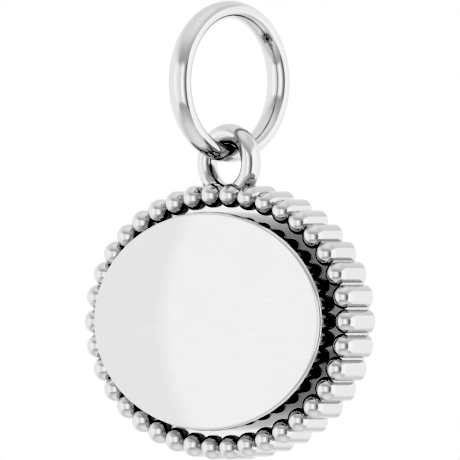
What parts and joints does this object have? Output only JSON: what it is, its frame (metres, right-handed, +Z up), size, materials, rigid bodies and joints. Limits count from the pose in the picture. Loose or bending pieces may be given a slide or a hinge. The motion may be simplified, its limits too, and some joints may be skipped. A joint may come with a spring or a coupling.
{
  "type": "beaded pendant on a jump ring",
  "caption": "Wide oval metal pendant with a blank, slightly crowned, raised tablet inside a border of round-ended rods, hanging by a soldered ring from a large jump ring.",
  "frame": {"origin": "inside top of the jump ring, where a chain or bail bears, midway between the ring's two sides", "axes": "+X across the pendant's width, -Y out of its face towards the viewer, +Z up"},
  "size_m": [0.0148, 0.0066, 0.0185],
  "materials": {
    "frame_metal": "mirror-polished white precious metal",
    "tablet_metal": "mirror-polished white precious metal, slightly crowned and blank",
    "ring_metal": "mirror-polished white precious metal"
  },
  "bodies": {
    "ring": {"jump_ring": "ring_metal"},
    "pendant": {"beaded_frame": "frame_metal", "center_disc": "tablet_metal"}
  },
  "joints": [
    {"name": "pendant_swing", "type": "hinge", "parent": "ring", "child": "pendant", "pos_m": [0, 0, -0.00568], "axis": [0, 1, 0], "range_deg": [-90, 90]}
  ]
}
